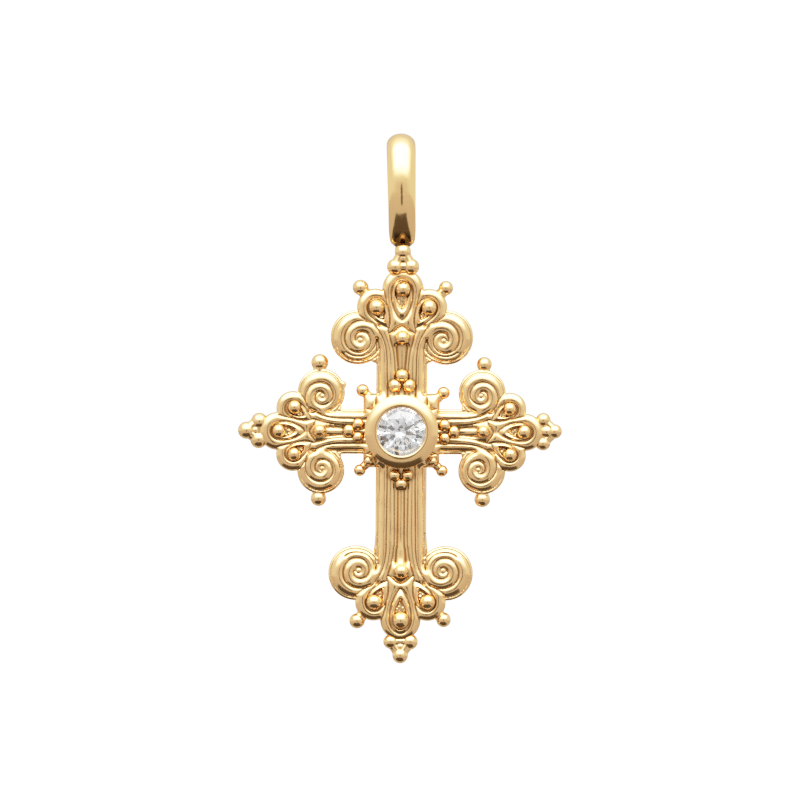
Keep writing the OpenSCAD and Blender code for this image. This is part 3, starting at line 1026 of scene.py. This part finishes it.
collar = {
    "radius": 2.83,
    "lip": 1.87,
    "foot": 0.0,
    # slope of the rim against its radius, in degrees: rolled in at the lip, over its crown and down
    "slopes": [
        (1.87, -38), (1.95, -10), (2.05, 4), (2.14, 10), (2.3, 16), (2.41, 20), (2.6, 30), (2.78, 40),
        (2.82, 58), (2.83, 78),
    ],
    "lipTurn": (0.01, 0.06),    # how far the lip turns under, inward and down
    "lipOver": 0.3,             # how high it grips the stone, as a share of the crown
    "lipGap": 0.02,             # how far it stays over the stone there
    "seatGap": 0.03,            # room round the stone
    "seatHalf": 0.06,           # half height of the groove that holds the stone's girdle
    "culetGap": 0.1,            # room under the stone
    "culetRadius": 0.5,
    "rings": 60,
    "sides": 128,
}

stone = {
    "radius": 2.0,
    "crown": 0.56,
    "pavilion": 1.76,
    "table": 1.12,
    "crownMiddle": 1.58,
    "pavilionMiddle": 0.48,
    "turn": 8.0,
    "tilt": (1.2, 3.2),         # how far it sits askew in its seat, in degrees
    "girdle": 0.03,
    "underTop": 0.02,           # its table lies this far under the collar's top
    "tints": ((0.97, 0.98, 1.0, 1), (1, 1, 1, 1)),
    "cloud": (1.4, 2.0),        # scale per mm and detail of the change between its tints
    "clearness": 0.965,
    "bending": 2.15,            # how strongly it bends light
}
stoneLevel = collarTop - stone["underTop"] - stone["crown"]


def latheMesh(profile, sides):
    # turns a profile of (radius, level) round the stone's axis; a radius of 0 makes a pole
    points, rings = [], []
    turn = np.arange(sides) * 2 * math.pi / sides
    for radius, level in profile:
        first = len(points)
        if radius < 1e-6:
            points.append((0.0, 0.0, level))
            rings.append([first] * sides)
        else:
            points += [(radius * math.cos(a), radius * math.sin(a), level) for a in turn]
            rings.append(list(range(first, first + sides)))
    faces = []
    for lower, upper in zip(rings, rings[1:]):
        for j in range(sides):
            k = (j + 1) % sides
            corners = [lower[j], lower[k], upper[k], upper[j]]
            face = tuple(dict.fromkeys(corners))
            if len(face) > 2:
                faces.append(face)
    return np.array(points), faces


def collarProfile(c):
    # from the middle of the foot out and up, over the rim, down the lip and into the seat
    r = np.linspace(c["lip"], c["radius"], c["rings"])
    table = np.array(c["slopes"], float)
    slope = np.tan(np.radians(np.interp(r, table[:, 0], table[:, 1])))
    drop = np.concatenate([[0], np.cumsum((slope[1:] + slope[:-1]) / 2 * np.diff(r))])
    level = collarTop - (drop - drop.min())
    rim = list(zip(r, level))[::-1]
    inward, down = c["lipTurn"]
    hole = c["lip"] - inward
    seat = stone["radius"] + c["seatGap"]
    lipLevel = stoneLevel + c["lipOver"] * stone["crown"]
    bottom = stoneLevel - stone["pavilion"] - c["culetGap"]
    inside = [
        (hole, level[0] - down), (hole, lipLevel + c["lipGap"]),
        (seat, stoneLevel + c["seatHalf"]), (seat, stoneLevel - c["seatHalf"]),
        (c["culetRadius"], bottom), (0.0, bottom),
    ]
    return [(0.0, c["foot"]), (c["radius"], c["foot"])] + rim + inside


def collarPiece(c, material):
    points, faces = latheMesh(collarProfile(c), c["sides"])
    piece = addMesh("smoothCollar", toWorld(points), faces)
    piece.data.materials.append(material)
    print("collar:", len(faces), "faces")
    return piece


def glassMaterial(c):
    material, tree, shader = newMaterial("clearStone")
    cloud = noiseAt(tree, placeInMm(tree), *c["cloud"])
    tree.links.new(blend(tree, cloud, *c["tints"]), shader.inputs["Base Color"])
    shader.inputs["Transmission Weight"].default_value = c["clearness"]
    shader.inputs["IOR"].default_value = c["bending"]
    shader.inputs["Roughness"].default_value = 0.0
    return material


def stonePiece(c, material):
    def ring(radius, level, count, start):
        turn = np.radians(c["turn"] + start + np.arange(count) * 360 / count)
        return [(radius * math.cos(a), radius * math.sin(a), stoneLevel + level) for a in turn]

    # kites and mains are flat, so their middle corners lie on the planes through their ends
    half = 360 / 16
    lean = math.cos(math.radians(half))
    crownSlope = (c["crown"] - c["girdle"]) / (c["radius"] - c["table"])
    crownMiddle = c["crown"] - crownSlope * (c["crownMiddle"] * lean - c["table"])
    mainSlope = (c["pavilion"] - c["girdle"]) / c["radius"]
    mainMiddle = mainSlope * c["pavilionMiddle"] * lean - c["pavilion"]
    corners = ring(c["table"], c["crown"], 8, half) + ring(c["crownMiddle"], crownMiddle, 8, 0)
    corners += ring(c["radius"], c["girdle"], 16, 0) + ring(c["radius"], -c["girdle"], 16, 0)
    corners += ring(c["pavilionMiddle"], mainMiddle, 8, 0)
    corners.append((0, 0, stoneLevel - c["pavilion"]))
    corners = np.array(corners)
    up, aside = np.tan(np.radians(c["tilt"]))
    corners[:, 2] += corners[:, 1] * up + corners[:, 0] * aside
    shell = bmesh.new()
    for p in toWorld(corners):
        shell.verts.new(p)
    bmesh.ops.convex_hull(shell, input=shell.verts)
    bmesh.ops.dissolve_limit(shell, angle_limit=math.radians(0.5), verts=shell.verts, edges=shell.edges)
    bmesh.ops.recalc_face_normals(shell, faces=shell.faces)
    mesh = bpy.data.meshes.new("roundBrilliant")
    shell.to_mesh(mesh)
    shell.free()
    piece = bpy.data.objects.new("roundBrilliant", mesh)
    bpy.context.scene.collection.objects.link(piece)
    piece.data.materials.append(material)
    print("stone:", len(mesh.polygons), "facets")
    return piece


keepPiece(collarPiece(collar, plainGold), "cross", "cross")
keepPiece(stonePiece(stone, glassMaterial(stone)), "cross", "stone")


# the eye behind the top bead, and the bail that hangs in it

eye = {
    "barRadius": 0.17,
    "barSides": 32,
    "holeHalf": 0.31,
    "postWidth": 0.24,
    "postSides": 24,
    "postTop": 0.86,            # radius of a post at the bar as a share of the bar's
    "postSunk": 0.1,            # how far it starts inside the block
    "knuckleHalf": 0.12,        # half width of the bar's round end over a post
    "blockLow": 12.15,
    "blockHigh": 13.46,
    "blockBack": -0.2,
}


def eyePiece(c, material):
    rise = (hinge.z - stoneHeight) / mm
    outer = c["holeHalf"] + c["postWidth"]
    radius = c["barRadius"]
    parts = [postMesh((-outer, rise, 0), (outer, rise, 0), radius, radius, 1, c["barSides"])]
    for side in (1, -1):
        middle = side * (c["holeHalf"] + outer) / 2
        foot = (middle, c["blockHigh"] - c["postSunk"], 0)
        parts.append(postMesh(foot, (middle, rise, 0), radius, radius * c["postTop"], 1, c["postSides"]))
        left, right = middle - c["knuckleHalf"], middle + c["knuckleHalf"]
        parts.append(postMesh((left, rise, 0), (right, rise, 0), radius, radius, 1, c["barSides"]))
    low, high = c["blockLow"], c["blockHigh"]
    block = [
        (side * outer, y, z)
        for z in (c["blockBack"], radius) for side, y in ((-1, low), (1, low), (1, high), (-1, high))
    ]
    walls = [(3, 2, 1, 0), (4, 5, 6, 7), (0, 1, 5, 4), (1, 2, 6, 5), (2, 3, 7, 6), (3, 0, 4, 7)]
    parts.append((np.array(block), walls))
    points, faces = joined(parts)
    piece = addMesh("bailEye", toWorld(points), faces)
    piece.data.materials.append(material)
    print("eye:", len(faces), "faces")
    return piece


bail = {
    "rise": 8.74,
    "half": 2.8,
    "widest": 4.5,              # height of its deepest place over the hinge
    "lean": -0.17,              # how far the top stands to the left
    "band": 1.12,
    "dome": 0.75,               # share of the band's thickness that is domed outward
    "neckRadius": 0.41,
    "neckTurn": 66,
    # a band thinner than the first moves inward, and once thinner by the second it is centred on its line
    "neckThin": (0.47, 0.05),
    "pulls": (1.6, 2.2),        # how far a leg keeps its way at the neck and at its deepest place
    "rings": (12, 41, 25),      # points along the neck, a leg and half of the top
    # half width and thickness of the band against the height over the hinge
    "widths": [
        (-1, 0.26), (-0.06, 0.27), (0.02, 0.5), (0.13, 0.72), (0.28, 0.86), (0.5, 0.96), (0.8, 1.01),
        (1.4, 1.05), (3, 1.06), (4.5, 1.08), (6.3, 1.11), (7.4, 1.13), (8.74, 1.12),
    ],
    "depths": [
        (-1, 0.4), (0, 0.4), (0.3, 0.43), (0.7, 0.54), (1, 0.63), (1.7, 0.78), (3, 0.95), (6.5, 1.05),
        (7.9, 1.2),
    ],
    "sides": 48,
    "shadeTop": (1.25, 0.4),     # the foot gets painted shade in its middle up to here, where it meets the top bead
    # half width of that painted shade and its soft edge
    "shadeHalf": (0.7, 0.14),
}


def bailLine(c):
    # the line that the band follows, seen from the side: up the back from the neck and down the front
    shoulder = c["half"] - c["dome"] * c["band"]
    rounded = c["rise"] - c["widest"] - c["dome"] * c["band"]
    turn = math.radians(c["neckTurn"])
    onNeck, onLeg, onTop = c["rings"]
    neck = [
        c["neckRadius"] * np.array([math.sin(a), -math.cos(a)])
        for a in np.linspace(0, turn, onNeck)
    ]
    low, high = c["pulls"]
    one, four = neck[-1], np.array([shoulder, c["widest"]])
    two = one + low * np.array([math.cos(turn), math.sin(turn)])
    three = np.array([shoulder, c["widest"] - high])
    leg = [
        one * (1 - t)**3 + 3 * two * t * (1 - t)**2 + 3 * three * t * t * (1 - t) + four * t**3
        for t in np.linspace(0, 1, onLeg)[1:]
    ]
    over = [
        np.array([shoulder * math.cos(a), c["widest"] + rounded * math.sin(a)])
        for a in np.linspace(0, math.pi / 2, onTop)[1:]
    ]
    back = np.array(neck + leg + over)
    return np.vstack([back, back[1:-1][::-1] * (-1, 1)])


def bailPiece(c, material):
    line = bailLine(c)
    way = np.roll(line, -1, axis=0) - np.roll(line, 1, axis=0)
    way /= np.linalg.norm(way, axis=1)[:, None]
    out = np.column_stack([way[:, 1], -way[:, 0]])
    wide = np.interp(line[:, 1], *np.array(c["widths"]).T)
    deep = np.interp(line[:, 1], *np.array(c["depths"]).T)
    for _ in range(2):
        wide = (np.roll(wide, 1) + 2 * wide + np.roll(wide, -1)) / 4
        deep = (np.roll(deep, 1) + 2 * deep + np.roll(deep, -1)) / 4
    flat = 1 - c["dome"]
    thin, fade = c["neckThin"]
    drop = np.clip((thin - deep) / fade, 0, 1) * flat
    a = np.arange(c["sides"]) * 2 * math.pi / c["sides"]
    across = np.cos(a)
    up = np.where(np.sin(a) > 0, c["dome"] * np.sin(a), flat * np.sin(a))
    aside = c["lean"] * np.clip(line[:, 1] / c["rise"], 0, 1)
    x = aside[:, None] + wide[:, None] * across[None, :]
    lift = (up[None, :] - drop[:, None]) * deep[:, None]
    y = line[:, 0:1] + out[:, 0:1] * lift
    z = line[:, 1:2] + out[:, 1:2] * lift
    points = np.column_stack([x.ravel() * mm, y.ravel() * mm, z.ravel() * mm + hinge.z])
    n, m = len(line), c["sides"]
    faces = [
        (i * m + j, i * m + (j + 1) % m, (i + 1) % n * m + (j + 1) % m, (i + 1) % n * m + j)
        for i in range(n) for j in range(m)
    ]
    piece = addMesh("teardropBail", points, faces)
    # painted shade in the middle of the foot, where the top bead meets it
    top, height = c["shadeTop"]
    half, edge = c["shadeHalf"]
    setPaintedShade(piece, np.clip((top - z) / height, 0, 1) * np.clip((half - np.abs(x)) / edge, 0, 1))
    piece.data.materials.append(material)
    print("bail:", len(faces), "faces")
    return piece


keepPiece(eyePiece(eye, plainGold), "cross", "cross")
keepPiece(bailPiece(bail, bailGold), "bail", "bail")


# the room: pale floor, soft light, camera

room = {
    "distance": 0.9,
    "frameWidth": 0.8 / 13,     # metres across the picture at the cross
    "centrePixel": (401.4, 431.6),
    "roll": 0.33,               # the picture's lean, in degrees
    "floorLevel": -0.175,
    "floorHalf": 1.5,
    "floorColour": (0.235, 0.235, 0.231, 1),
    "floorRough": 0.8,
    # brightness of the room against the angle from straight ahead over the top and round
    "glow": [
        (-180, 0.7), (-110, 0.76), (-40, 0.8), (4, 0.8), (14, 1.0), (25, 3.0), (36, 6.0), (74, 6.0),
        (92, 2.0), (125, 1.0), (160, 0.75), (180, 0.7),
    ],
    "sideGlow": 1.02,           # brightness to the left and right
    "sideEdges": (0.35, 0.9),   # where the room changes to it
    "lens": (0.1, 0.17, 0.06),  # half width and height of the dark lens ahead and how low it stands
    "lensEdge": (0.8, 1.15),    # its soft edge, as shares of that size
    "lensColour": (0.02, 0.018, 0.015, 1),
    "white": 3.0,               # brightness that prints as white
    "seen": 0.66,               # brightness of the room in the picture, as a share of white
    # print curve: share of the white against share of full brightness
    "curve": [(0, 0), (0.16, 0.47), (0.25, 0.69), (0.37, 0.845), (0.5, 0.95), (0.62, 1.0), (1, 1)],
    # dark foot of the camera's stand: half width far and near, far and near place ahead, top
    "stand": (0.085, 0.035, 0.88, 0.44, 0.0),
    "standColour": (0.02, 0.015, 0.01, 1),
    "standGap": 0.002,          # how far it ends over the floor
    # dark card under the jewel: left, right, front and back edge and drop, in metres
    "card": (-0.11, 0.075, -0.152, 0.012, 0.1),
    "cardCorner": 0.8,          # its left front corner is cut back to this share of its front
    "cardColour": (0.02, 0.012, 0.004, 1),
    "cardRough": 0.9,           # also the stand's
}


def makeCamera(r):
    data = bpy.data.cameras.new("camera")
    camera = bpy.data.objects.new("camera", data)
    bpy.context.scene.collection.objects.link(camera)
    across = 800                # pixels
    pixel = r["frameWidth"] / across
    a = math.radians(r["roll"])
    dx = (across / 2 - r["centrePixel"][0]) * pixel
    dz = (r["centrePixel"][1] - across / 2) * pixel
    x = dx * math.cos(a) - dz * math.sin(a)
    z = dx * math.sin(a) + dz * math.cos(a)
    camera.location = (x, -r["distance"], stoneHeight + z)
    camera.rotation_euler = (math.radians(90), 0, 0)
    camera.rotation_euler.rotate_axis("Z", a)
    data.sensor_width = 36
    data.lens = data.sensor_width * r["distance"] / r["frameWidth"]
    data.clip_start = 0.01
    bpy.context.scene.camera = camera


def makeWorld(r):
    # a soft wrap of light: bright overhead and in front, even elsewhere, white where it is seen
    world = bpy.data.worlds.new("softRoom")
    bpy.context.scene.world = world
    world.use_nodes = True
    tree = world.node_tree
    tree.nodes.clear()
    output = tree.nodes.new("ShaderNodeOutputWorld")
    way = wire(tree, "ShaderNodeTexCoord").outputs["Generated"]
    parts = wire(tree, "ShaderNodeSeparateXYZ", {0: way}).outputs
    angle = sumOf(tree, "ARCTAN2", parts["Z"], sumOf(tree, "MULTIPLY", parts["Y"], -1.0))
    share = wire(tree, "ShaderNodeMapRange", {
        "Value": angle, "From Min": -math.pi, "From Max": math.pi, "To Min": 0.0, "To Max": 1.0,
    }).outputs[0]
    ramp = tree.nodes.new("ShaderNodeValToRGB")
    tree.links.new(share, ramp.inputs[0])
    stops = ramp.color_ramp.elements
    ramp.color_ramp.interpolation = "EASE"
    top = max(v for _, v in r["glow"])
    for i, (degrees, value) in enumerate(r["glow"]):
        at = (degrees + 180) / 360
        stop = stops[i] if i < 2 else stops.new(at)
        stop.position = at
        stop.color = (value / top, value / top, value / top, 1)
    width = sumOf(tree, "ABSOLUTE", parts["X"])
    low, high = r["sideEdges"]
    aside = wire(tree, "ShaderNodeMapRange", {"Value": width, "From Min": low, "From Max": high})
    aside.interpolation_type = "SMOOTHSTEP"
    side = r["sideGlow"] / top
    glow = blend(tree, aside.outputs[0], ramp.outputs[0], (side, side, side, 1))
    # the dark lens of the camera, straight ahead
    lensHalf, lensHeight, lensDrop = r["lens"]
    shift = (0, 1, lensDrop)
    shifted = wire(tree, "ShaderNodeVectorMath", {0: way, 1: shift}, operation="ADD").outputs[0]
    scale = (1 / lensHalf, 1, 1 / lensHeight)
    flat = wire(tree, "ShaderNodeVectorMath", {0: shifted, 1: scale}, operation="MULTIPLY").outputs[0]
    offAxis = wire(tree, "ShaderNodeVectorMath", {0: flat}, operation="LENGTH").outputs["Value"]
    low, high = r["lensEdge"]
    clear = wire(tree, "ShaderNodeMapRange", {"Value": offAxis, "From Min": low, "From Max": high})
    glow = blend(tree, clear.outputs[0], r["lensColour"], glow)
    lit = wire(tree, "ShaderNodeBackground", {"Color": glow, "Strength": top})
    bright = r["white"] * r["seen"]
    seen = wire(tree, "ShaderNodeBackground", {"Color": (1, 1, 1, 1), "Strength": bright})
    ray = wire(tree, "ShaderNodeLightPath").outputs["Is Camera Ray"]
    mix = wire(tree, "ShaderNodeMixShader", {0: ray, 1: lit.outputs[0], 2: seen.outputs[0]})
    tree.links.new(mix.outputs[0], output.inputs[0])


def plainSheet(name, corners, colour, rough):
    sheet = addMesh(name, corners, [(0, 1, 2, 3)], smooth=False)
    material, _, shader = newMaterial(name)
    shader.inputs["Base Color"].default_value = colour
    shader.inputs["Roughness"].default_value = rough
    sheet.data.materials.append(material)
    return sheet


def makeFloor(r):
    h, z = r["floorHalf"], r["floorLevel"]
    corners = [(-h, -h, z), (h, -h, z), (h, h, z), (-h, h, z)]
    plainSheet("paleFloor", corners, r["floorColour"], r["floorRough"])


def makeCards(r):
    # dark sheets under and before the jewel, unseen, which give the metal its dark reflections
    left, right, front, back, drop = r["card"]
    z = stoneHeight - drop
    corners = [(left, front * r["cardCorner"], z), (right, front, z), (right, back, z), (left, back, z)]
    card = plainSheet("darkCard", corners, r["cardColour"], r["cardRough"])
    wide, narrow, far, near, top = r["stand"]
    foot = r["floorLevel"] + r["standGap"]
    corners = [(-wide, -far, top), (wide, -far, top), (narrow, -near, foot), (-narrow, -near, foot)]
    stand = plainSheet("darkStand", corners, r["standColour"], r["cardRough"])
    for sheet in (card, stand):
        sheet.visible_camera = False
        sheet.visible_shadow = False
        sheet.visible_diffuse = False


def printLook(r):
    # a soft shoulder, so that polished gold pales towards white in its highlights
    look = bpy.context.scene.view_settings
    look.view_transform = "Standard"
    look.use_curve_mapping = True
    curves = look.curve_mapping
    curves.extend = "HORIZONTAL"
    curves.white_level = (r["white"],) * 3
    points = curves.curves[3].points
    for i, (x, y) in enumerate(r["curve"]):
        if 0 < i < len(r["curve"]) - 1:
            points.new(x, y)
    curves.update()


makeCamera(room)
makeWorld(room)
makeFloor(room)
makeCards(room)
printLook(room)
print("room: camera, light, floor and dark cards")
